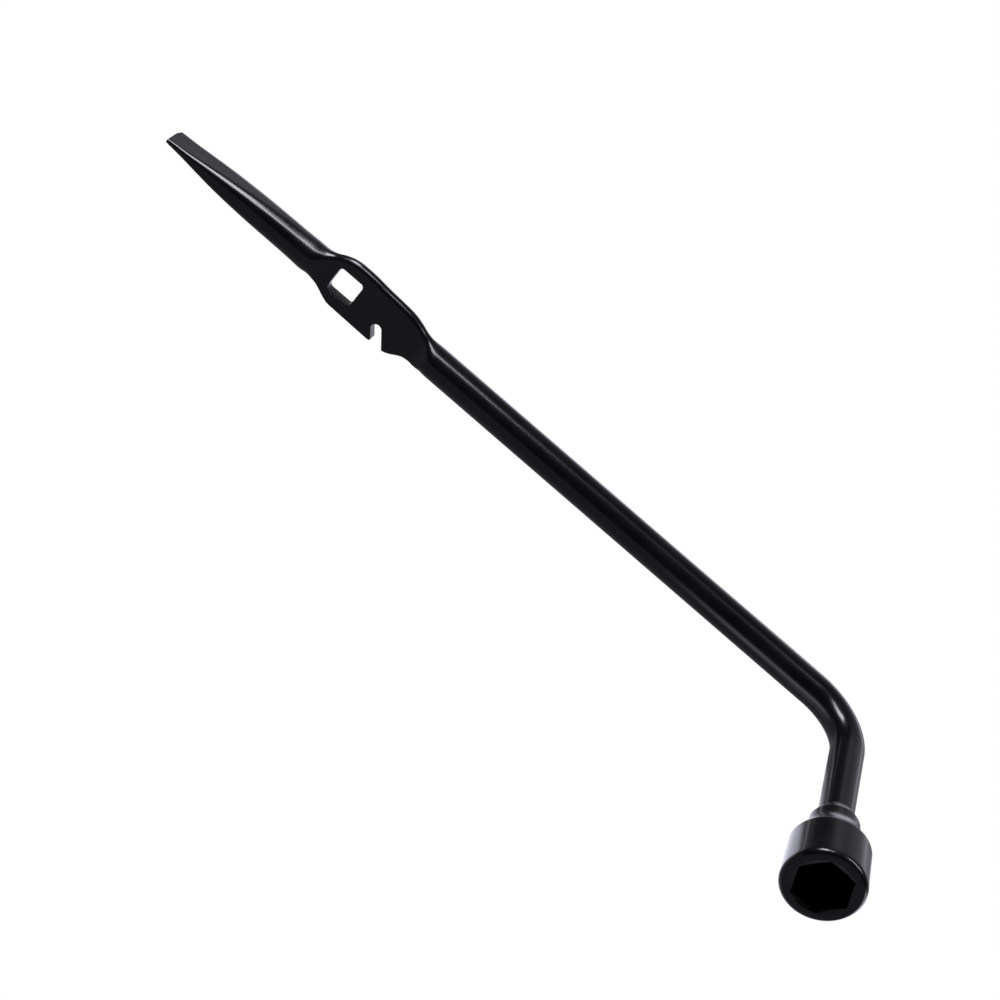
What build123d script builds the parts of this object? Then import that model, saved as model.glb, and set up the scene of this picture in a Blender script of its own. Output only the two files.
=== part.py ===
"""L-shaped lug wrench: a forged steel bar with a pry blade, a punched lever
plate and a bent arm, joined to a hexagonal wheel-nut socket by a weld bead.

Frame: +X runs along the straight bar from the pry blade to the bend, the arm
and the socket point towards -Y, +Z is normal to the plane of the bend.  The
wrench lies on its side, and the origin is at the centre of its footprint at
the height of the lowest point of the socket.  Millimetres throughout.
"""
import os
from math import cos, radians, sin, tan

from build123d import *

# ---------------------------------------------------------------- dimensions
# overall layout
BAR_D = 13.6            # round bar diameter
BAR_R = BAR_D / 2
REACH = 349.3           # blade edge to the corner of the two centre lines
ARM = 103.8             # corner of the two centre lines to the socket mouth
ARM_TILT = 8.3          # arm leans away from square, so the arms stand 98.3 deg apart
BEND_R = 23.5           # centre-line radius of the bend

# hexagonal socket
SOCKET_OD = 32.5        # barrel diameter
SOCKET_R = SOCKET_OD / 2
HEX_AF = 21.0           # wheel-nut size, across flats
HEX_DEPTH = 19.0        # straight depth of the hexagon
HEX_PHASE = 6.0         # turn of the hexagon about the socket axis
MOUTH_R = 12.3          # radius of the lead-in cone at the mouth
MOUTH_DEPTH = 0.65      # depth at which the cone meets the flats
RIM_CHAMFER = 1.1       # outer chamfer of the mouth
RELIEF_R = 11.2         # round relief behind the hexagon
RELIEF_DEPTH = 24.0     # mouth to floor of the relief
DRILL_R = 6.8           # bore that takes the bar, a press fit on its diameter
BARREL_LEN = 21.2       # length of the slightly tapered barrel
REAR_R = 15.6           # barrel radius at its back edge
REAR_ROUND = 0.7        # rounding of the back edge
SHOULDER_R = 10.0       # radius of the turned neck behind the shoulder
SHOULDER_END = 32.0     # mouth to the end of the shoulder curve
SOCKET_LEN = 37.0       # mouth to the back of the neck
NECK_BEAD_R = 9.8       # neck radius at its back face

# weld bead between neck and bar
WELD_LEN = 5.5          # how far the bead climbs along the bar
WELD_R = 9.6            # outer radius where it meets the neck

# bar end inside the socket
SPIGOT_END = 26.0       # mouth to the end of the bar
SPIGOT_CHAMFER = 1.2

# lever plate, stations measured from the blade edge
PLATE_T = 5.0           # web thickness
PLATE_EDGE_R = 2.3      # rounded upper edge
PLATE_IN = 70.3         # start of the run-out at the blade side
PLATE_OUT = 133.8       # end of the run-out at the bend side
RUN_IN = 8.5            # run-out length at the blade side
RUN_OUT = 7.5           # run-out length at the bend side
PLATE_FLAT = (71.3, 132.8)   # how far the web reaches into the round bar
SQUARE = 12.0           # square drive hole
SQUARE_AT = (88.75, 0.45)
SQUARE_CORNER = 1.6
SLOT_W = 4.6            # hook slot
SLOT_AT = (108.4, -4.9)      # centre of the slot's round end
SLOT_DIR = -55.5        # slot direction from the bar axis, degrees
LIP_ROUND = 0.8         # blunted point of the hook beside the slot

# pry blade: station, width, thickness, corner radius
BLADE = (
    (0.0, 12.0, 1.5, 0.55),
    (8.8, 12.4, 3.2, 1.35),
    (16.8, 12.8, 5.2, 2.10),
    (25.8, 13.1, 7.4, 2.80),
    (34.8, 13.3, 9.2, 3.60),
    (44.8, 13.4, 10.9, 4.60),
    (54.8, 13.4, 12.1, 5.70),
    (62.8, 13.4, 12.8, 6.25),
    (69.8, 13.6, 13.6, 6.75),
)
BLADE_END = BLADE[-1][0]
TIP_CHAMFER = (1.1, 3.7)     # worn far corner of the blade edge, along X and Y

# ------------------------------------------------------------- derived frame
TILT = radians(ARM_TILT)
DX, DY = sin(TILT), -cos(TILT)            # direction of the arm, bend to mouth
X_HIGH = (ARM - RIM_CHAMFER) * DX + SOCKET_R * cos(TILT)
Y_LOW = ARM * DY - (SOCKET_R - RIM_CHAMFER) * sin(TILT)
CX = (REACH - X_HIGH) / 2                 # corner of the centre lines
CY = -(BAR_R + Y_LOW) / 2
CZ = SOCKET_R
X_TIP = CX - REACH
MOUTH = (CX + ARM * DX, CY + ARM * DY, CZ)

BAR_PLANE = Plane(origin=(X_TIP, CY, CZ), x_dir=(0, 1, 0), z_dir=(1, 0, 0))
SIDE_PLANE = Plane(origin=(X_TIP, CY, CZ), x_dir=(1, 0, 0), z_dir=(0, -1, 0))
TOP_PLANE = Plane(origin=(X_TIP, CY, CZ), x_dir=(1, 0, 0), z_dir=(0, 0, 1))
# socket plane: local X across the barrel, local Y from the mouth into the socket
SOCKET_PLANE = Plane(origin=MOUTH, x_dir=(-DY, DX, 0), z_dir=(0, 0, 1))
MOUTH_PLANE = Plane(origin=MOUTH, x_dir=(-DY, DX, 0), z_dir=(-DX, -DY, 0))
SOCKET_AXIS = Axis(origin=MOUTH, direction=(-DX, -DY, 0))

os.makedirs("parts", exist_ok=True)

# ------------------------------------------------------------- lever plate web
# flat web of the lever plate with its rounded upper edge, before it is joined
# to the round bar
web_lower = [(PLATE_FLAT[1], -5.6), (124.9, -6.7), (114.7, -10.2),
             (110.2, -10.5), (86.2, -10.2), (75.9, -6.0),
             (PLATE_FLAT[0], -5.2)]
with BuildPart() as web:
    with BuildSketch(SIDE_PLANE):
        with BuildLine():
            Polyline(*web_lower)
            Line((PLATE_FLAT[0], -5.2), (PLATE_FLAT[0], 5.6))
            Spline((PLATE_FLAT[0], 5.6), (77.4, 8.0), (81.8, 10.35),
                   (86.4, 12.0), (91.8, 12.45),
                   tangents=[(1, 0.25), (1, -0.03)])
            Line((91.8, 12.45), (115.4, 10.95))
            Spline((115.4, 10.95), (120.4, 9.75), (126.4, 7.4),
                   (PLATE_FLAT[1], 5.6),
                   tangents=[(1, -0.06), (1, -0.2)])
            Line((PLATE_FLAT[1], 5.6), (PLATE_FLAT[1], -5.6))
        make_face()
    extrude(amount=PLATE_T / 2, both=True)
    top_edges = [e for e in web.edges()
                 if e.center().Z > CZ + 6.0 and abs(e.center().Y - CY) > PLATE_T / 2 - 0.1]
    fillet(top_edges, radius=PLATE_EDGE_R)

# ------------------------------------------------------------------ shank bar
with BuildPart() as shank_bar:
    # tapered pry blade, growing from a thin edge to the full round bar
    for station, width, thick, corner in BLADE:
        with BuildSketch(BAR_PLANE.offset(station)):
            RectangleRounded(width, thick, corner)
    loft()

    # round bar: straight run, bend, arm, and the end that enters the socket
    with BuildLine(Plane.XY.offset(CZ)):
        FilletPolyline((X_TIP + BLADE_END, CY), (CX, CY),
                       (CX + (ARM - SPIGOT_END) * DX, CY + (ARM - SPIGOT_END) * DY),
                       radius=BEND_R)
    with BuildSketch(BAR_PLANE.offset(BLADE_END)):
        Circle(BAR_R)
    sweep()

    # the pressed flats: the bar is thinned to the web on both sides, with
    # curved run-outs at each end
    half = PLATE_T / 2
    with BuildSketch(TOP_PLANE):
        for side in (-1, 1):
            with BuildLine():
                a = (PLATE_IN, side * (BAR_R + 1.0))
                b = (PLATE_IN + RUN_IN, side * half)
                c = (PLATE_OUT - RUN_OUT, side * half)
                d = (PLATE_OUT, side * (BAR_R + 1.0))
                Spline(a, b, tangents=[(0.35, -side), (1, 0)])
                Line(b, c)
                Spline(c, d, tangents=[(1, 0), (0.35, side)])
                Line(d, a)
            make_face()
    extrude(amount=BAR_R + 1.0, both=True, mode=Mode.SUBTRACT)
    add(web.part)

    # square drive hole through the plate
    with BuildSketch(SIDE_PLANE):
        with Locations(SQUARE_AT):
            RectangleRounded(SQUARE, SQUARE, SQUARE_CORNER)
    extrude(amount=BAR_R + 1.0, both=True, mode=Mode.SUBTRACT)

    # hook slot, open at the lower edge of the plate
    sx, sz = SLOT_AT
    ux, uz = cos(radians(SLOT_DIR)), sin(radians(SLOT_DIR))
    with BuildSketch(SIDE_PLANE):
        with Locations(SLOT_AT):
            Circle(SLOT_W / 2)
        with Locations(Location((sx + 8 * ux, sz + 8 * uz, 0), (0, 0, SLOT_DIR))):
            Rectangle(16, SLOT_W)
    extrude(amount=BAR_R + 1.0, both=True, mode=Mode.SUBTRACT)
    # blunted point of the hook beside the slot
    lip = shank_bar.edges().filter_by(Axis.Y).sort_by_distance(
        (X_TIP + sx + 0.9, CY, CZ - 10.3))[0]
    fillet(lip, radius=LIP_ROUND)

    # worn far corner of the blade edge
    cx, cy = TIP_CHAMFER
    with BuildSketch(TOP_PLANE):
        with BuildLine():
            Polyline((-1, 6.0 - cy), (0, 6.0 - cy), (cx, 6.1), (cx, 8), (-1, 8), close=True)
        make_face()
    extrude(amount=3, both=True, mode=Mode.SUBTRACT)

    # chamfered end of the bar inside the socket
    end_edge = shank_bar.edges().filter_by(GeomType.CIRCLE).sort_by(Axis.Y)[0]
    chamfer(end_edge, length=SPIGOT_CHAMFER)

shank_bar.part.label = "shank_bar"
export_step(shank_bar.part, "parts/shank_bar.step")

# --------------------------------------------------------------------- socket
with BuildPart() as socket:
    # turned outer shape: mouth chamfer, barrel, shoulder curve, neck
    with BuildSketch(SOCKET_PLANE):
        with BuildLine():
            Polyline((0, 0), (SOCKET_R - RIM_CHAMFER, 0), (SOCKET_R, RIM_CHAMFER),
                     (REAR_R, BARREL_LEN))
            ThreePointArc((REAR_R, BARREL_LEN),
                          (REAR_R - 0.22 * REAR_ROUND, BARREL_LEN + 0.62 * REAR_ROUND),
                          (REAR_R - 0.78 * REAR_ROUND, BARREL_LEN + 1.1 * REAR_ROUND))
            Spline((REAR_R - 0.78 * REAR_ROUND, BARREL_LEN + 1.1 * REAR_ROUND),
                   (12.1, 26.8), (SHOULDER_R, SHOULDER_END),
                   tangents=[(-0.62, 1), (-0.1, 1)])
            Polyline((SHOULDER_R, SHOULDER_END), (NECK_BEAD_R, SOCKET_LEN),
                     (0, SOCKET_LEN), (0, 0))
        make_face()
    revolve(axis=SOCKET_AXIS)

    # hexagon, with a round relief behind it
    with BuildSketch(MOUTH_PLANE):
        RegularPolygon(HEX_AF / 2, 6, major_radius=False, rotation=HEX_PHASE)
    extrude(amount=HEX_DEPTH, mode=Mode.SUBTRACT)
    with BuildSketch(SOCKET_PLANE):
        with BuildLine():
            Polyline((0, HEX_DEPTH - 2.0), (HEX_AF / 2, HEX_DEPTH - 2.0),
                     (RELIEF_R, HEX_DEPTH - 1.0), (RELIEF_R, RELIEF_DEPTH - 2.5),
                     (DRILL_R, RELIEF_DEPTH), (0, RELIEF_DEPTH), close=True)
        make_face()
    revolve(axis=SOCKET_AXIS, mode=Mode.SUBTRACT)

    # lead-in cone at the mouth
    with BuildSketch(SOCKET_PLANE):
        with BuildLine():
            Polyline((0, -1), (MOUTH_R, -1), (MOUTH_R, 0),
                     (HEX_AF / 2 - 0.3, MOUTH_DEPTH * 1.2), (0, MOUTH_DEPTH * 1.2), close=True)
        make_face()
    revolve(axis=SOCKET_AXIS, mode=Mode.SUBTRACT)

    # bore at the back that takes the bar
    with BuildSketch(MOUTH_PLANE):
        Circle(DRILL_R)
    extrude(amount=SOCKET_LEN + 1, mode=Mode.SUBTRACT)

socket.part.label = "socket"
export_step(socket.part, "parts/socket.step")

# ------------------------------------------------------------------ weld bead
with BuildPart() as weld_bead:
    # ring of weld metal in the corner between the neck and the bar
    with BuildSketch(SOCKET_PLANE):
        with BuildLine():
            Polyline((BAR_R, SOCKET_LEN), (WELD_R, SOCKET_LEN))
            Spline((WELD_R, SOCKET_LEN), (WELD_R - 0.55, SOCKET_LEN + 2.6),
                   (BAR_R + 0.25, SOCKET_LEN + WELD_LEN),
                   tangents=[(0.1, 1), (-0.9, 0.6)])
            Polyline((BAR_R + 0.25, SOCKET_LEN + WELD_LEN), (BAR_R, SOCKET_LEN + WELD_LEN),
                     (BAR_R, SOCKET_LEN))
        make_face()
    revolve(axis=SOCKET_AXIS)

weld_bead.part.label = "weld_bead"
export_step(weld_bead.part, "parts/weld_bead.step")

for piece in (shank_bar, socket, weld_bead):
    box = piece.part.bounding_box()
    print(piece.part.label, "solids", len(piece.part.solids()),
          "volume", round(piece.part.volume, 1),
          "box", [round(v, 2) for v in (*box.min, *box.max)])
print("corner", round(CX, 3), round(CY, 3), CZ, "mouth", [round(v, 3) for v in MOUTH])
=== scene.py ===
import math

import bmesh
import bpy
import numpy as np
from mathutils import Matrix, Vector, noise


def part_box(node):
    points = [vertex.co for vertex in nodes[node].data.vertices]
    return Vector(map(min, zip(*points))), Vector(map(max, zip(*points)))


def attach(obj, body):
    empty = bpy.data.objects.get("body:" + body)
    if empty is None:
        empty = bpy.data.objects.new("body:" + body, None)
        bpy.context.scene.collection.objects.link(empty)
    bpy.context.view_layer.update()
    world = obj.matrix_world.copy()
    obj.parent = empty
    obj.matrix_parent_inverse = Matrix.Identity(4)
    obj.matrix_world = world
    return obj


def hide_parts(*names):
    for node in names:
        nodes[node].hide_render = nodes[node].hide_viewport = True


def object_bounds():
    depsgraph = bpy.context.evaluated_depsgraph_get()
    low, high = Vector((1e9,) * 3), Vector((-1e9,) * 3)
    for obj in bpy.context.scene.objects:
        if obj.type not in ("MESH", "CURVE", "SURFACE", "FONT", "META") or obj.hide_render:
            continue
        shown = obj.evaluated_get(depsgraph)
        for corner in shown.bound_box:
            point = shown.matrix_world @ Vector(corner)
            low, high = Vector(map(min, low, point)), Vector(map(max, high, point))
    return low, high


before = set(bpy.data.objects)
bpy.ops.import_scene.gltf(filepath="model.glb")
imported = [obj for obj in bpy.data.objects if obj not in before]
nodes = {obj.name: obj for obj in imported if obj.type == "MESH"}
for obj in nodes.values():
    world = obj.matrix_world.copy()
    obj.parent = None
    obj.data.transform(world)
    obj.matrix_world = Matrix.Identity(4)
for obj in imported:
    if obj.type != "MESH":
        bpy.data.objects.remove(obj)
CAD_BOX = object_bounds()
scene = bpy.context.scene
scene.view_settings.view_transform = "Standard"
scene.view_settings.look = "None"

MM = 0.001

# ----------------------------------------------------------------- layout
# Millimetres in the row frame.  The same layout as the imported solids: bar
# along X, bend, arm towards the socket, the socket's axis leaning 8.3 degrees.
LO, HI = CAD_BOX
SOCKET_R = 16.25
CZ = SOCKET_R
BAR_R = 6.8
REACH = 349.3
ARM = 103.8
TILT = math.radians(8.3)
BEND_R = 23.5
TURN = math.radians(81.7)
TANGENT = BEND_R * math.tan(TURN / 2)
DX, DY = math.sin(TILT), -math.cos(TILT)
X_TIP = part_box("shank_bar")[0][0] / MM
CX = X_TIP + REACH
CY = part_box("shank_bar")[1][1] / MM - BAR_R
MOUTH = np.array([CX + ARM * DX, CY + ARM * DY, CZ])
SOCKET_LEN = 37.0
SPIGOT_END = 26.0
HALF_T = 2.5


# ------------------------------------------------------------------ helpers
def smooth(t):
    t = min(max(t, 0.0), 1.0)
    return t * t * (3 - 2 * t)


def ease(u, u0, v0, u1, v1):
    return v0 + (v1 - v0) * smooth((u - u0) / (u1 - u0))


def mesh_object(name, verts, faces):
    me = bpy.data.meshes.new(name)
    me.from_pydata([tuple(v * MM for v in p) for p in verts], [], faces)
    me.validate()
    me.update()
    ob = bpy.data.objects.new(name, me)
    scene.collection.objects.link(ob)
    return ob


def ring_mesh(name, rings, cap_start=True, cap_end=True, loop=False):
    """Quads between successive rings of the same point count."""
    rings = [np.asarray(r, float) for r in rings]
    k = len(rings[0])
    verts = np.vstack(rings)
    faces = []
    n = len(rings)
    for i in range(n if loop else n - 1):
        a, b = i * k, ((i + 1) % n) * k
        for j in range(k):
            j2 = (j + 1) % k
            faces.append((a + j, a + j2, b + j2, b + j))
    if not loop:
        if cap_start:
            faces.append(tuple(range(k - 1, -1, -1)))
        if cap_end:
            faces.append(tuple((n - 1) * k + j for j in range(k)))
    ob = mesh_object(name, verts, faces)
    fix_normals(ob)
    return ob


def fix_normals(ob):
    bm = bmesh.new()
    bm.from_mesh(ob.data)
    bmesh.ops.recalc_face_normals(bm, faces=bm.faces)
    bm.to_mesh(ob.data)
    bm.free()
    ob.data.update()


def shade(ob, angle=35.0):
    """Smooth shading with creases only where faces turn by more than angle."""
    me = ob.data
    me.polygons.foreach_set("use_smooth", [True] * len(me.polygons))
    bm = bmesh.new()
    bm.from_mesh(me)
    limit = math.radians(angle)
    for e in bm.edges:
        e.smooth = not (len(e.link_faces) == 2 and e.calc_face_angle(0.0) > limit)
    bm.to_mesh(me)
    bm.free()
    me.update()


def cut(ob, cutter):
    m = ob.modifiers.new("cut", "BOOLEAN")
    m.operation = "DIFFERENCE"
    m.solver = "EXACT"
    m.object = cutter
    dg = bpy.context.evaluated_depsgraph_get()
    me = bpy.data.meshes.new_from_object(ob.evaluated_get(dg))
    old = ob.data
    ob.modifiers.clear()
    ob.data = me
    bpy.data.meshes.remove(old)
    bpy.data.objects.remove(cutter, do_unlink=True)


# ------------------------------------------------------------------- camera
def make_camera():
    data = bpy.data.cameras.new("camera")
    data.sensor_fit = "HORIZONTAL"
    data.sensor_width = 36.0
    data.lens = 93.6
    data.clip_start = 0.01
    data.clip_end = 50
    cam = bpy.data.objects.new("camera", data)
    scene.collection.objects.link(cam)
    right = Vector((0.75656, 0.327608, 0.565942)).normalized()
    back = Vector((-0.018218, -0.854559, 0.519035)).normalized()
    up = back.cross(right).normalized()
    right = up.cross(back).normalized()
    m = Matrix.Identity(4)
    for i in range(3):
        m[i][0], m[i][1], m[i][2] = right[i], up[i], back[i]
    m[0][3], m[1][3], m[2][3] = -0.020296, -0.828385, 0.521192
    cam.matrix_world = m
    scene.camera = cam


make_camera()


# ---------------------------------------------------------------- shank bar
def table(u, rows):
    """Smooth interpolation of rows (station, value...) without overshoot."""
    xs = np.array([r[0] for r in rows], float)
    ys = np.array([r[1:] for r in rows], float)
    if u <= xs[0]:
        return ys[0]
    if u >= xs[-1]:
        return ys[-1]
    i = int(np.searchsorted(xs, u, side="right")) - 1
    h = np.diff(xs)
    d = np.diff(ys, axis=0) / h[:, None]
    m = np.zeros_like(ys)
    for k in range(1, len(xs) - 1):
        for c in range(ys.shape[1]):
            if d[k - 1, c] * d[k, c] > 0:
                w1, w2 = 2 * h[k] + h[k - 1], h[k] + 2 * h[k - 1]
                m[k, c] = (w1 + w2) / (w1 / d[k - 1, c] + w2 / d[k, c])
    m[0], m[-1] = d[0], d[-1]
    t = (u - xs[i]) / h[i]
    h00, h10 = 2 * t**3 - 3 * t**2 + 1, t**3 - 2 * t**2 + t
    h01, h11 = -2 * t**3 + 3 * t**2, t**3 - t**2
    return h00 * ys[i] + h10 * h[i] * m[i] + h01 * ys[i + 1] + h11 * h[i] * m[i + 1]


# pry blade: station, half width (Y), half thickness (Z), corner radius
BLADE = (
    (0.0, 6.0, 0.75, 0.55),
    (1.0, 6.02, 0.92, 0.80),
    (8.8, 6.25, 1.62, 1.50),
    (16.8, 6.45, 2.63, 2.30),
    (25.8, 6.62, 3.73, 3.15),
    (34.8, 6.7, 4.63, 4.0),
    (44.8, 6.72, 5.48, 4.95),
    (54.8, 6.72, 6.07, 5.85),
    (62.8, 6.7, 6.4, 6.35),
    (69.8, 6.8, 6.8, 6.8),
)
# lever plate outline above and below the bar's axis
UPPER = ((69.8, 6.8), (72.2, 6.84), (74.8, 7.1), (78.0, 8.2), (81.8, 10.3),
         (86.0, 11.8), (89.4, 12.2), (92.8, 12.2), (103.8, 11.42),
         (115.0, 10.72), (117.8, 10.25), (121.2, 9.25), (125.4, 7.7), (128.8, 6.95),
         (131.8, 6.8), (134.8, 6.8))
LOWER = ((69.8, 6.8), (72.2, 6.55), (75.0, 6.4), (77.8, 6.8), (85.2, 9.9),
         (86.8, 10.4), (97.8, 10.7), (110.0, 10.85), (113.8, 10.8),
         (116.0, 10.4), (118.6, 9.2), (121.0, 7.6), (123.2, 6.55), (126.5, 6.25),
         (130.5, 6.4), (134.8, 6.8))


def half_thickness(u):
    if u < 70.8:
        return BAR_R
    if u < 79.6:
        return ease(u, 70.8, BAR_R, 79.6, HALF_T)
    if u < 125.4:
        return HALF_T
    if u < 133.2:
        return ease(u, 125.4, HALF_T, 133.2, BAR_R)
    return BAR_R


def section(u):
    """half thickness in Y, reach above and below, corner radii top and bottom"""
    if u <= 69.8:
        w, t, r = table(u, BLADE)
        return w, t, t, min(r, t, w), min(r * ease(u, 10.0, 0.55, 60.0, 1.0), t, w)
    if u >= 134.8:
        return BAR_R, BAR_R, BAR_R, BAR_R, BAR_R
    h = half_thickness(u)
    a = float(table(u, UPPER)[0])
    b = float(table(u, LOWER)[0])
    rt = min(h, a)
    rt = min(rt, max(2.2, rt))
    rb_plate = 0.45
    if u < 82:
        rb = ease(u, 72.8, h, 80.5, rb_plate)
    elif u > 124:
        rb = ease(u, 125.0, rb_plate, 132.6, h)
    else:
        rb = rb_plate
    return h, a, b, min(rt, h), min(rb, h, b)


def outline(h, a, b, rt, rb, count, lean=0.5):
    """Closed curve of a box with rounded corners, as (y, z), with count points
    shared between length and turning, from the top centre round by -Y."""
    pts = [(0.0, a)]
    ang = [0.0]

    def arc(cy, cz, r, a0, a1, n=36):
        for i in range(n + 1):
            t = math.radians(a0 + (a1 - a0) * i / n)
            pts.append((cy + r * math.cos(t), cz + r * math.sin(t)))
            ang.append(abs(math.radians(a1 - a0)) / n if i else 0.0)

    arc(-(h - rt), a - rt, rt, 90, 180)
    arc(-(h - rb), -(b - rb), rb, 180, 270)
    arc(h - rb, -(b - rb), rb, 270, 360)
    arc(h - rt, a - rt, rt, 0, 90)
    pts.append((0.0, a))
    ang.append(0.0)
    p = np.array(pts)
    seg = np.hypot(*np.diff(p, axis=0).T)
    turn = np.array(ang[1:])
    w = (1 - lean) * seg / seg.sum() + lean * turn / max(turn.sum(), 1e-9)
    c = np.concatenate([[0], np.cumsum(w)])
    c /= c[-1]
    q = np.arange(count) / count
    keep = np.concatenate([[True], np.diff(c) > 1e-12])
    return np.c_[np.interp(q, c[keep], p[keep, 0]), np.interp(q, c[keep], p[keep, 1])]


STRAIGHT = REACH - TANGENT
ARC_LEN = BEND_R * TURN
ARM_LEN = ARM - SPIGOT_END - TANGENT
TOTAL = STRAIGHT + ARC_LEN + ARM_LEN


def station_frame(u):
    """centre, in-plane side direction and bend fraction at arc length u"""
    if u <= STRAIGHT:
        return np.array([X_TIP + u, CY, CZ]), np.array([0.0, 1.0, 0.0]), 0.0
    if u <= STRAIGHT + ARC_LEN:
        th = (u - STRAIGHT) / BEND_R
        c = np.array([CX - TANGENT, CY - BEND_R, CZ])
        side = np.array([math.sin(th), math.cos(th), 0.0])
        return c + BEND_R * side, side, math.sin(math.pi * th / TURN)
    d = u - STRAIGHT - ARC_LEN + TANGENT
    side = np.array([-DY, DX, 0.0])
    return np.array([CX + d * DX, CY + d * DY, CZ]), side, 0.0


def stations():
    us = [0.0, 0.12, 0.4, 1.0]
    u = 1.6
    while u < 66.8:
        us.append(u)
        u += 0.9
    u = 66.8
    while u < 136:
        us.append(u)
        u += 0.6
    while u < STRAIGHT:
        us.append(u)
        u += 3.0
    n = 44
    for i in range(n + 1):
        us.append(STRAIGHT + ARC_LEN * i / n)
    u = STRAIGHT + ARC_LEN + 2.0
    while u < TOTAL - 1.5:
        us.append(u)
        u += 2.2
    us += [TOTAL - 1.2, TOTAL]
    return sorted(us)


K_BAR = 144


def forged(p, size, seed):
    return noise.noise(Vector((p[0] / size + seed, p[1] / size - seed, p[2] / size)))


def make_shank():
    rings = []
    facet = []
    for u in stations():
        h, a, b, rt, rb = section(u)
        ring = outline(h, a, b, rt, rb, K_BAR)
        c, side, bend = station_frame(u)
        # the bar is drawn slightly flat where it is bent
        ys, zs = ring[:, 0] * (1 - 0.035 * bend), ring[:, 1] * (1 + 0.0 * bend)
        if u >= TOTAL - 0.1:
            ys, zs = ys * (1 - 1.2 / BAR_R), zs * (1 - 1.2 / BAR_R)
        pts = c + ys[:, None] * side + zs[:, None] * np.array([0, 0, 1.0])
        rad = np.hypot(ys, zs)[:, None]
        out = (ys[:, None] * side + zs[:, None] * np.array([0, 0, 1.0])) / np.maximum(rad, 1e-6)
        # shallow forging marks, always inwards
        blade = 1 - smooth((u - 40) / 22)
        plate = smooth((u - 72) / 8) * (1 - smooth((u - 124) / 8))
        amp = 0.008 + 0.035 * blade + 0.012 * plate
        for j in range(len(pts)):
            flat = 1.0 if abs(ys[j]) < h - rt and blade > 0 else 0.4
            d = 0.7 * forged(pts[j], 19.0, 3.1) + 0.3 * forged(pts[j], 9.0, 7.7) * (1 + blade * flat)
            pts[j] = pts[j] - out[j] * amp * (0.5 + 0.5 * d)
        rings.append(pts)
        t_flat = np.clip((h - rt + 0.3 - np.abs(ys)) / 0.6, 0, 1) * (np.abs(zs) > 0.2)
        facet.append(t_flat * blade)
    ob = ring_mesh("shank", rings)
    att = ob.data.attributes.new("facet", "FLOAT", "POINT")
    att.data.foreach_set("value", np.concatenate(facet).astype(np.float32))
    return ob


def prism(name, poly, half_depth, flare, at_y):
    """Cutter along Y whose edges roll outwards at the plate's faces.
    poly: (x, z) loop, anticlockwise, in plate coordinates."""
    p = np.array(poly, float)
    nxt, prv = np.roll(p, -1, 0), np.roll(p, 1, 0)
    t = nxt - prv
    n = np.c_[t[:, 1], -t[:, 0]]
    n /= np.linalg.norm(n, axis=1)[:, None]
    prof = []
    for i in range(6):
        a = math.pi / 2 * i / 5
        prof.append((half_depth - flare + flare * math.sin(a), flare * (1 - math.cos(a))))
    prof.append((half_depth + 6, flare * 1.02))
    prof = [(-y, o) for y, o in reversed(prof)] + prof
    rings = []
    for y, o in prof:
        q = p + n * o
        rings.append(np.c_[X_TIP + q[:, 0], np.full(len(q), at_y + y), CZ + q[:, 1]])
    return ring_mesh(name, rings)


def rounded_square(cx, cz, side, r, n=10):
    out = []
    for k, (sx, sz) in enumerate(((1, 1), (-1, 1), (-1, -1), (1, -1))):
        for i in range(n + 1):
            a = math.radians(90 * k + 90 * i / n)
            out.append((cx + sx * (side / 2 - r) + r * math.cos(a),
                        cz + sz * (side / 2 - r) + r * math.sin(a)))
    return out


def slot_outline():
    sx, sz, r = 108.4, -4.9, 2.3
    a = math.radians(-55.5)
    d = np.array([math.cos(a), math.sin(a)])
    n = np.array([-d[1], d[0]])          # towards the bend, above the slot
    c = np.array([sx, sz])
    pts = []
    # right wall, out past the edge, then back up the left wall
    pts.append(c + n * r)
    for i in range(1, 16):
        t = math.pi * i / 16
        pts.append(c + n * r * math.cos(t) - d * r * math.sin(t))
    left = c - n * r
    pts.append(left)
    # rounded hook lip where the left wall meets the lower edge
    edge = -10.6
    rho = 0.6
    # circle tangent to the left wall (on the material side) and to the edge
    # centre = left + d*s - n*rho, with z = edge + rho
    s = (edge + rho - (left - n * rho)[1]) / d[1]
    cc = left + d * s - n * rho
    for i in range(0, 9):
        t = i / 8
        a0 = math.atan2(n[1], n[0])
        a1 = -math.pi / 2
        if a1 > a0:
            a1 -= 2 * math.pi
        th = a0 + (a1 - a0) * t
        pts.append(cc + rho * np.array([math.cos(th), math.sin(th)]))
    end = pts[-1]
    pts.append(end + np.array([-1.5, -0.45]))
    pts.append(end + np.array([-1.5, -4.0]))
    pts.append(c + n * r + d * 14.0)
    # sample the right wall
    for f in (0.75, 0.5, 0.25):
        pts.append(c + n * r + d * 14.0 * f)
    p = np.array(pts)
    area = 0.5 * np.sum(p[:, 0] * np.roll(p[:, 1], -1) - np.roll(p[:, 0], -1) * p[:, 1])
    return p if area > 0 else p[::-1]


def tip_wedge():
    """worn far corner of the blade's edge"""
    tri = [(-1.0, 2.3), (0.0, 2.3), (1.1, 6.0), (1.3, 6.7), (1.3, 8.0), (-1.0, 8.0)]
    rings = [np.array([(X_TIP + x, CY + y, CZ + z) for x, y in tri]) for z in (-3.0, 3.0)]
    return ring_mesh("tip_cutter", rings)


shank = make_shank()
cut(shank, prism("hole_cutter", rounded_square(88.75, 0.45, 11.6, 1.6), HALF_T - 0.05, 0.10, CY))
cut(shank, prism("slot_cutter", slot_outline(), HALF_T - 0.05, 0.12, CY))
cut(shank, tip_wedge())


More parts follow.
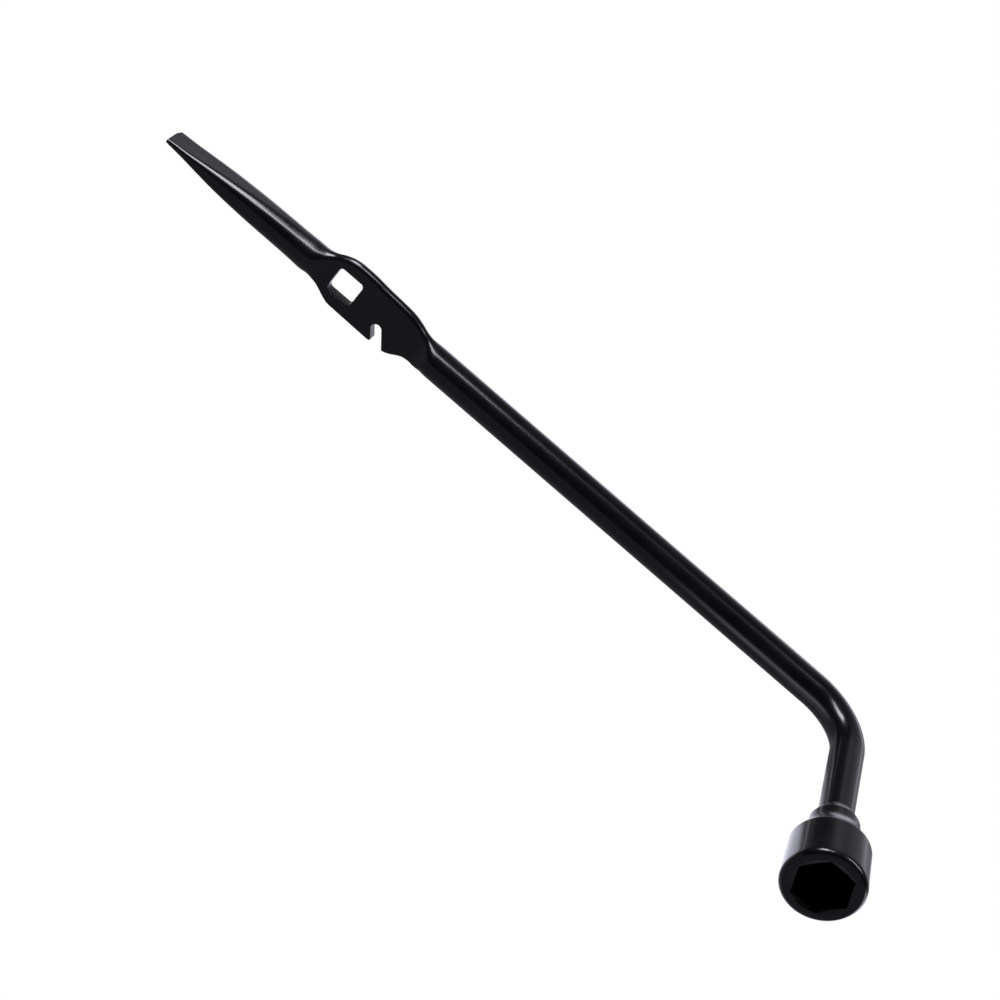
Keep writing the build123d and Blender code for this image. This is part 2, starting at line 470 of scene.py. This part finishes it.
def mark_punched_walls(ob):
    """painted shade: the punched walls of the hole and slot get half the paint's gloss, which darkens them where
    shade falls
    """
    att = ob.data.attributes.new("painted_recess_shade", "FLOAT", "POINT")
    for v in ob.data.vertices:
        u, y, z = v.co.x / MM - X_TIP, abs(v.co.y / MM - CY), v.co.z / MM - CZ
        if y < 2.42 and (80.0 < u < 97.5 and abs(z - 0.45) < 8.7 or 104.0 < u < 114.0 and z < -2.0):
            att.data[v.index].value = 0.5


def mark_bore(ob):
    """painted shade: the inside of the socket, whose gloss fades out over its first 3 mm and is gone deeper in
    """
    att = ob.data.attributes.new("painted_recess_shade", "FLOAT", "POINT")
    for v in ob.data.vertices:
        x, y, z = v.co.x / MM - CX, v.co.y / MM - CY, v.co.z / MM - CZ
        along = x * DX + y * DY
        rad = math.sqrt(max(x * x + y * y + z * z - along * along, 0.0))
        depth = ARM - along
        if 0.7 < depth and rad < (11.95 if depth < 24.6 else 7.4):
            att.data[v.index].value = smooth((depth - 0.7) / 3.0)


mark_punched_walls(shank)
shade(shank, 32)


# ------------------------------------------------------------------- socket
AX = np.array([-DX, -DY, 0.0])           # from the mouth into the socket
EX = np.array([-DY, DX, 0.0])
EZ = np.array([0.0, 0.0, 1.0])
K_SOCK = 240


def around(depth, radii, count=K_SOCK):
    """ring of count points at that depth; radii is one number or one per point"""
    th = 2 * math.pi * np.arange(count) / count
    r = np.full(count, radii) if np.isscalar(radii) else np.asarray(radii)
    return (MOUTH + AX * depth)[None, :] + (r * np.cos(th))[:, None] * EX + (r * np.sin(th))[:, None] * EZ


def arc_pts(cx, cy, r, a0, a1, n):
    return [(cx + r * math.cos(math.radians(a0 + (a1 - a0) * i / n)),
             cy + r * math.sin(math.radians(a0 + (a1 - a0) * i / n))) for i in range(n + 1)]


def hex_radius(phase_deg, across=21.0, corner=0.9, count=K_SOCK):
    th = 2 * math.pi * np.arange(count) / count
    a = np.mod(th - math.radians(phase_deg) + math.pi / 6, math.pi / 3) - math.pi / 6
    # a is measured from a corner; the flat's distance is across / 2
    b = math.pi / 6 - np.abs(a)
    r = (across / 2) / np.cos(b)
    top = (across / 2) / math.cos(math.pi / 6)
    lim = top - 0.154 * corner
    return np.minimum(r, lim + 0.25 * (r - lim)) if corner else r


def make_socket():
    hexr = hex_radius(-6.0)
    rings = []

    def add(depth, r):
        rings.append(around(depth, r))

    # inside, from the bore at the back to the mouth
    bore = BAR_R + 0.02
    add(SOCKET_LEN, bore)
    for dpt in (34, 31, 28, 26, 25, 24.2):
        add(dpt, bore)
    for t in (0.15, 0.5, 0.85, 1.0):
        add(24.0 - 2.5 * t, bore + (11.2 - bore) * t)
    add(21.2, 11.2)
    add(19.2, 11.2)
    add(18.9, 11.1)
    add(18.6, np.maximum(10.75, hexr))
    add(18.3, np.maximum(10.4, hexr))
    for dpt in (17.5, 16, 14, 12, 10, 8, 6, 5, 4, 3, 2.0, 1.3, 0.95):
        add(dpt, hexr)
    n = 16
    for i in range(n + 1):
        dpt = 0.75 * (1 - i / n)
        cone = 12.3 - dpt * (12.3 - 10.5) / 0.65
        lead = hexr + 0.5 * (np.sqrt((cone - hexr) ** 2 + 0.0016) + (cone - hexr))
        if dpt < 0.1:       # soft edge at the mouth
            lead = lead + 0.10 * (1 - dpt / 0.1) ** 2
        add(dpt, lead)
    # mouth face, then the outer chamfer with soft edges
    for f in (0.3, 0.6):
        add(0.0, lead + (14.8 - lead) * f)
    for r, d in arc_pts(14.8, 0.25, 0.25, -90, -45, 3):
        add(d, r)
    for r, d in arc_pts(14.05, 2.25, 2.2, -45, 0, 10):
        add(d, r)
    # barrel, a little smaller at the back, with a rounded back edge
    for i in range(1, 12):
        f = i / 12
        add(2.25 + (21.1 - 2.25) * f, 16.25 + (15.62 - 16.25) * f)
    for r, d in arc_pts(14.97, 21.1, 0.65, 0, 62, 7):
        add(d, r)
    # shoulder, sweeping down to the neck
    p0, p3 = np.array([15.275, 21.674]), np.array([10.0, 32.0])
    p1, p2 = p0 + np.array([-2.1, 1.7]), p3 + np.array([0.95, -4.6])
    for i in range(1, 19):
        t = i / 18
        q = (1 - t) ** 3 * p0 + 3 * (1 - t) ** 2 * t * p1 + 3 * (1 - t) * t * t * p2 + t**3 * p3
        add(q[1], q[0])
    for d, r in ((33.0, 9.92), (34.5, 9.86), (35.9, 9.82), (36.5, 9.8)):
        add(d, r)
    for r, d in arc_pts(9.5, 36.7, 0.3, 0, 90, 4):
        add(d, r)
    add(SOCKET_LEN, 8.5)
    # faint forging unevenness on the barrel, inwards only
    out = []
    for ring in rings:
        rad = (ring - MOUTH)
        axial = rad @ AX
        radial = rad - axial[:, None] * AX
        rr = np.linalg.norm(radial, axis=1)
        un = radial / rr[:, None]
        d = np.array([0.5 + 0.5 * forged(p, 11.0, 1.7) for p in ring])
        k = np.where(rr > 12.9, 0.02, 0.0)
        out.append(ring - un * (k * d)[:, None])
    return ring_mesh("socket_body", out, loop=True)


socket = make_socket()
shade(socket, 30)


# ---------------------------------------------------------------- weld bead
def make_bead():
    count = 288
    th = 2 * math.pi * np.arange(count) / count
    prof = []
    # cross-section: bar side first, up over the bead, down to the neck
    prof.append((42.3, BAR_R + 0.01))
    p0, p3 = np.array([42.45, 6.95]), np.array([37.0, 9.58])
    p1, p2 = np.array([41.0, 7.75]), np.array([38.9, 9.05])
    for i in range(0, 15):
        t = i / 14
        q = (1 - t) ** 3 * p0 + 3 * (1 - t) ** 2 * t * p1 + 3 * (1 - t) * t * t * p2 + t**3 * p3
        prof.append((q[0], q[1]))
    prof.append((37.0, 8.2))
    prof.append((37.0, BAR_R + 0.01))
    rings = []
    for k, (d, r) in enumerate(prof):
        free = 1.0 if 1 < k < 15 else 0.0
        edge = math.sin(math.pi * min(max((k - 1) / 14, 0), 1)) if free else 0.0
        # overlapping puddles, each a shallow crescent leaning round the bar
        lean = 0.16 * (d - 39.5) / 2.5
        ph = (th * 30 + lean * 30 + 0.5 * np.sin(3 * th + 0.7)) / (2 * math.pi)
        saw = ph - np.floor(ph)
        rip = 0.5 - 0.5 * np.cos(2 * math.pi * saw)
        wob = np.array([noise.noise(Vector((math.cos(t) * 2.2, math.sin(t) * 2.2, 4.4 + d * 0.15))) for t in th])
        rr = r - edge * (0.11 * (1 - rip) + 0.10 * (0.5 + 0.5 * wob))
        ring = (MOUTH + AX * d)[None, :] + (rr * np.cos(th))[:, None] * EX + (rr * np.sin(th))[:, None] * EZ
        rings.append(ring)
    return ring_mesh("weld_metal", rings, loop=True)


bead = make_bead()
shade(bead, 50)


# ---------------------------------------------------------------- materials
def black_paint(name, base, rough, rough_span, peel, pit, forge=0.0, wear=0.0):
    """Semi-gloss black enamel: fine orange peel, shallow pits of the forged
    skin under it, uneven gloss, rubbed grey edges, and painted shade: gloss cut in the recesses."""
    m = bpy.data.materials.new(name)
    m.use_nodes = True
    nt = m.node_tree
    nt.nodes.clear()
    N = nt.nodes.new
    L = nt.links.new
    outn = N("ShaderNodeOutputMaterial")
    b = N("ShaderNodeBsdfPrincipled")
    L(b.outputs[0], outn.inputs[0])
    b.inputs["IOR"].default_value = 1.45
    b.inputs["Metallic"].default_value = 0.0
    tc = N("ShaderNodeTexCoord")

    def tex(scale, detail, roughness=0.5, lac=2.0):
        t = N("ShaderNodeTexNoise")
        t.inputs["Scale"].default_value = scale
        t.inputs["Detail"].default_value = detail
        t.inputs["Roughness"].default_value = roughness
        t.inputs["Lacunarity"].default_value = lac
        L(tc.outputs["Object"], t.inputs["Vector"])
        return t

    def math_node(op, a, b_, clamp=False):
        n = N("ShaderNodeMath")
        n.operation = op
        n.use_clamp = clamp
        for i, v in enumerate((a, b_)):
            if isinstance(v, (int, float)):
                n.inputs[i].default_value = v
            else:
                L(v, n.inputs[i])
        return n.outputs[0]

    def remap(v, lo, hi, out_lo, out_hi):
        n = N("ShaderNodeMapRange")
        n.inputs["From Min"].default_value = lo
        n.inputs["From Max"].default_value = hi
        n.inputs["To Min"].default_value = out_lo
        n.inputs["To Max"].default_value = out_hi
        L(v, n.inputs["Value"])
        return n.outputs["Result"]

    broad = tex(60, 4, 0.55)
    fine = tex(900, 3, 0.6)
    peel_t = tex(1500, 2, 0.5)
    pits = N("ShaderNodeTexVoronoi")
    pits.inputs["Scale"].default_value = 700
    L(tc.outputs["Object"], pits.inputs["Vector"])

    # roughness: broad unevenness of the paint and fine dust
    r1 = remap(broad.outputs["Fac"], 0.3, 0.7, rough - rough_span, rough + rough_span)
    r2 = remap(fine.outputs["Fac"], 0.35, 0.65, -0.008, 0.008)
    rsum = math_node("ADD", r1, r2)
    fa = N("ShaderNodeAttribute")
    fa.attribute_name = "facet"
    if forge:
        rsum = math_node("ADD", rsum, math_node("MULTIPLY", fa.outputs["Fac"], 0.16))
    L(math_node("MINIMUM", rsum, 0.9), b.inputs["Roughness"])

    # painted shade: gloss is halved on the hole's and slot's walls and fades to nothing inside the bore,
    # darkening the recesses
    fd = N("ShaderNodeAttribute")
    fd.attribute_name = "painted_recess_shade"
    L(math_node("SUBTRACT", 0.5, math_node("MULTIPLY", fd.outputs["Fac"], 0.5)), b.inputs["Specular IOR Level"])

    # colour: black with faint dusty variation, and rubbed edges
    cr = N("ShaderNodeValToRGB")
    cr.color_ramp.elements[0].position = 0.35
    cr.color_ramp.elements[0].color = (base * 0.75, base * 0.75, base * 0.8, 1)
    cr.color_ramp.elements[1].position = 0.7
    cr.color_ramp.elements[1].color = (base * 1.35, base * 1.35, base * 1.45, 1)
    L(broad.outputs["Fac"], cr.inputs["Fac"])
    col = cr.outputs["Color"]
    if wear:
        geo = N("ShaderNodeNewGeometry")
        pt = remap(geo.outputs["Pointiness"], 0.53, 0.60, 0.0, 1.0)
        wn = remap(fine.outputs["Fac"], 0.45, 0.62, 0.0, 1.0)
        wf = math_node("MULTIPLY", math_node("MULTIPLY", pt, wn), wear, True)
        mixc = N("ShaderNodeMix")
        mixc.data_type = "RGBA"
        L(wf, mixc.inputs[0])
        L(col, mixc.inputs[6])
        mixc.inputs[7].default_value = (0.10, 0.10, 0.105, 1)
        col = mixc.outputs[2]
    L(col, b.inputs["Base Color"])

    # bump: orange peel, pits, and on the blade's facets the hammered skin
    h = math_node("MULTIPLY", peel_t.outputs["Fac"], peel)
    pit_h = remap(pits.outputs["Distance"], 0.0, 0.28, -pit, 0.0)
    h = math_node("ADD", h, pit_h)
    if forge:
        rough_t = tex(420, 5, 0.68)
        fh = math_node("MULTIPLY", math_node("MULTIPLY", rough_t.outputs["Fac"], fa.outputs["Fac"]), forge)
        h = math_node("ADD", h, fh)
    bump = N("ShaderNodeBump")
    bump.inputs["Strength"].default_value = 1.0
    bump.inputs["Distance"].default_value = 0.001
    L(h, bump.inputs["Height"])
    L(bump.outputs["Normal"], b.inputs["Normal"])
    return m


mark_bore(socket)

m_bar = black_paint("black_paint_bar", 0.0035, 0.22, 0.015, 0.0005, 0.0003, forge=0.10, wear=0.06)
m_sock = black_paint("black_paint_socket", 0.0035, 0.21, 0.015, 0.0005, 0.0003, wear=0.06)
m_weld = black_paint("black_paint_weld", 0.004, 0.21, 0.03, 0.0010, 0.0006)
for ob, m, node, sl in ((shank, m_bar, "shank_bar", "black_paint_bar"),
                        (socket, m_sock, "socket", "black_paint_socket"),
                        (bead, m_weld, "weld_bead", "black_paint_weld")):
    ob.data.materials.clear()
    ob.data.materials.append(m)
    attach(ob, "root")
    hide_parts(node)
    n = nodes[node]
    n.data.materials.clear()
    n.data.materials.append(m)


# ------------------------------------------------------------ floor, lights
def link_math(nt, op, a, b, clamp=False):
    n = nt.nodes.new("ShaderNodeMath")
    n.operation = op
    n.use_clamp = clamp
    for i, v in enumerate((a, b)):
        if isinstance(v, (int, float)):
            n.inputs[i].default_value = v
        else:
            nt.links.new(v, n.inputs[i])
    return n.outputs[0]


def step_up(nt, v, lo, hi, out_lo=0.0, out_hi=1.0):
    n = nt.nodes.new("ShaderNodeMapRange")
    n.interpolation_type = "SMOOTHSTEP"
    n.inputs["From Min"].default_value = lo
    n.inputs["From Max"].default_value = hi
    n.inputs["To Min"].default_value = out_lo
    n.inputs["To Max"].default_value = out_hi
    nt.links.new(v, n.inputs["Value"])
    return n.outputs["Result"]


def curve(nt, v, points):
    n = nt.nodes.new("ShaderNodeValToRGB")
    el = n.color_ramp.elements
    while len(el) > 1:
        el.remove(el[-1])
    el[0].position = points[0][0]
    el[0].color = (points[0][1],) * 3 + (1,)
    for pos, val in points[1:]:
        e = el.new(pos)
        e.color = (val, val, val, 1)
    nt.links.new(v, n.inputs["Fac"])
    return n.outputs["Color"]


def tint(nt, lp, socket_in):
    """the studio's light is a shade cool; the background stays pure white"""
    mc = nt.nodes.new("ShaderNodeMix")
    mc.data_type = "RGBA"
    nt.links.new(lp.outputs["Is Camera Ray"], mc.inputs[0])
    mc.inputs[6].default_value = (0.93, 0.93, 1.06, 1)
    mc.inputs[7].default_value = (1, 1, 1, 1)
    nt.links.new(mc.outputs[2], socket_in)


def floor():
    """Lit white table: plain white to look at, its light on the tool stronger
    behind the bar than in front of it."""
    me = bpy.data.meshes.new("floor")
    bm = bmesh.new()
    bmesh.ops.create_grid(bm, x_segments=1, y_segments=1, size=6.0)
    bm.to_mesh(me)
    bm.free()
    ob = bpy.data.objects.new("floor", me)
    scene.collection.objects.link(ob)
    ob.location.z = CAD_BOX[0][2] - 0.0003
    m = bpy.data.materials.new("floor")
    m.use_nodes = True
    nt = m.node_tree
    nt.nodes.clear()
    out = nt.nodes.new("ShaderNodeOutputMaterial")
    em = nt.nodes.new("ShaderNodeEmission")
    nt.links.new(em.outputs[0], out.inputs[0])
    tc = nt.nodes.new("ShaderNodeTexCoord")
    xyz = nt.nodes.new("ShaderNodeSeparateXYZ")
    nt.links.new(tc.outputs["Object"], xyz.inputs[0])
    back = link_math(nt, "MULTIPLY", step_up(nt, xyz.outputs["Y"], 0.05, 0.075),
                     step_up(nt, xyz.outputs["X"], 0.085, 0.125, 1.0, 0.15))
    corner = link_math(nt, "MULTIPLY", step_up(nt, xyz.outputs["X"], 0.06, 0.12, 0.0, 1.35),
                       link_math(nt, "MULTIPLY", step_up(nt, xyz.outputs["Y"], -0.06, -0.035),
                                 link_math(nt, "MULTIPLY",
                                           step_up(nt, xyz.outputs["Y"], -0.005, 0.014, 1.0, 0.45),
                                           step_up(nt, xyz.outputs["Y"], 0.014, 0.026, 1.0, 0.0))))
    armpit = link_math(nt, "MULTIPLY", step_up(nt, xyz.outputs["X"], 0.122, 0.136, 0.0, 0.35),
                       link_math(nt, "MULTIPLY", step_up(nt, xyz.outputs["Y"], -0.02, 0.0),
                                 step_up(nt, xyz.outputs["Y"], 0.026, 0.038, 1.0, 0.0)))
    inner = link_math(nt, "MAXIMUM", corner, armpit)
    glow = link_math(nt, "MAXIMUM", back, inner)
    g = link_math(nt, "ADD", link_math(nt, "MULTIPLY", glow, FLOOR_BACK - FLOOR_FRONT), FLOOR_FRONT)
    lp = nt.nodes.new("ShaderNodeLightPath")
    mx = nt.nodes.new("ShaderNodeMix")
    mx.data_type = "FLOAT"
    nt.links.new(lp.outputs["Is Camera Ray"], mx.inputs[0])
    nt.links.new(g, mx.inputs[2])
    mx.inputs[3].default_value = 1.0
    nt.links.new(mx.outputs[0], em.inputs["Strength"])
    tint(nt, lp, em.inputs["Color"])
    me.materials.append(m)


FLOOR_FRONT = 0.24
FLOOR_BACK = 1.7
floor()


def sky():
    """Bright low backdrop behind the tool, fading overhead and to the left,
    and dark in front."""
    w = bpy.data.worlds.new("world")
    scene.world = w
    w.use_nodes = True
    nt = w.node_tree
    bg = nt.nodes["Background"]
    bg.inputs[0].default_value = (1, 1, 1, 1)
    tc = nt.nodes.new("ShaderNodeTexCoord")
    nrm = nt.nodes.new("ShaderNodeVectorMath")
    nrm.operation = "NORMALIZE"
    nt.links.new(tc.outputs["Generated"], nrm.inputs[0])
    xyz = nt.nodes.new("ShaderNodeSeparateXYZ")
    nt.links.new(nrm.outputs[0], xyz.inputs[0])
    z = xyz.outputs["Z"]
    across = link_math(nt, "ADD", link_math(nt, "MULTIPLY", xyz.outputs["X"], 0.5), 0.5)
    # a bright band low behind the tool
    low = link_math(nt, "MULTIPLY",
                    curve(nt, z, ((0.0, 1.0), (0.10, 0.9), (0.18, 0.45), (0.28, 0.0))),
                    curve(nt, across, ((0.0, 0.02), (0.20, 0.02), (0.30, 0.12), (0.38, 0.55), (0.48, 0.9),
                                       (0.60, 0.85), (0.72, 0.45), (0.85, 0.2), (1.0, 0.1))))
    # a dimmer one above it
    high = link_math(nt, "MULTIPLY",
                     curve(nt, z, ((0.0, 0.0), (0.10, 0.10), (0.20, 0.40), (0.28, 0.52), (0.40, 0.42),
                                   (0.53, 0.33), (0.69, 0.21), (0.81, 0.13), (0.89, 0.07), (0.95, 0.03),
                                   (1.0, 0.01))),
                     curve(nt, across, ((0.0, 0.02), (0.24, 0.02), (0.30, 0.10), (0.36, 0.50), (0.41, 0.52),
                                        (0.45, 0.36), (0.50, 0.35), (0.57, 0.38), (0.65, 0.34), (0.73, 0.17),
                                        (0.85, 0.12), (1.0, 0.06))))
    behind = step_up(nt, xyz.outputs["Y"], 0.0, 0.25)
    k = link_math(nt, "MULTIPLY", link_math(nt, "ADD", low, high), behind)
    k = link_math(nt, "ADD", link_math(nt, "MULTIPLY", k, SKY), 0.006)
    lp = nt.nodes.new("ShaderNodeLightPath")
    mx = nt.nodes.new("ShaderNodeMix")
    mx.data_type = "FLOAT"
    nt.links.new(lp.outputs["Is Camera Ray"], mx.inputs[0])
    nt.links.new(k, mx.inputs[2])
    mx.inputs[3].default_value = 1.0
    nt.links.new(mx.outputs[0], bg.inputs[1])
    tint(nt, lp, bg.inputs[0])


SKY = 3.0
sky()


def area(name, loc, target, size, energy, size_y=None, roll=0.0):
    d = bpy.data.lights.new(name, "AREA")
    d.shape = "RECTANGLE"
    d.size = size
    d.size_y = size_y or size
    d.energy = energy
    d.color = (0.92, 0.93, 1.0)
    ob = bpy.data.objects.new(name, d)
    scene.collection.objects.link(ob)
    z = (Vector(loc) - Vector(target)).normalized()
    x = (Vector((math.cos(roll), math.sin(roll), 0)) - z * z.dot(Vector((math.cos(roll), math.sin(roll), 0)))).normalized()
    y = z.cross(x)
    m = Matrix.Identity(4)
    for i in range(3):
        m[i][0], m[i][1], m[i][2], m[i][3] = x[i], y[i], z[i], loc[i]
    ob.matrix_world = m
    ob.visible_camera = False
    return ob


area("overhead", (-0.20, -0.135, 0.6), (-0.15, 0.05, 0.0), 0.30, 1.5, 0.09, math.radians(20))
area("overhead_end", (-0.36, 0.02, 0.6), (-0.17, 0.05, 0.0), 0.22, 4.2, 0.30, math.radians(10))
area("overhead_far", (0.12, -0.025, 0.6), (0.08, 0.05, 0.0), 0.34, 0.055, 0.06, math.radians(10))
area("right_top", (0.52, -0.08, 0.60), (0.18, -0.06, 0.02), 0.48, 2.4, 0.14)
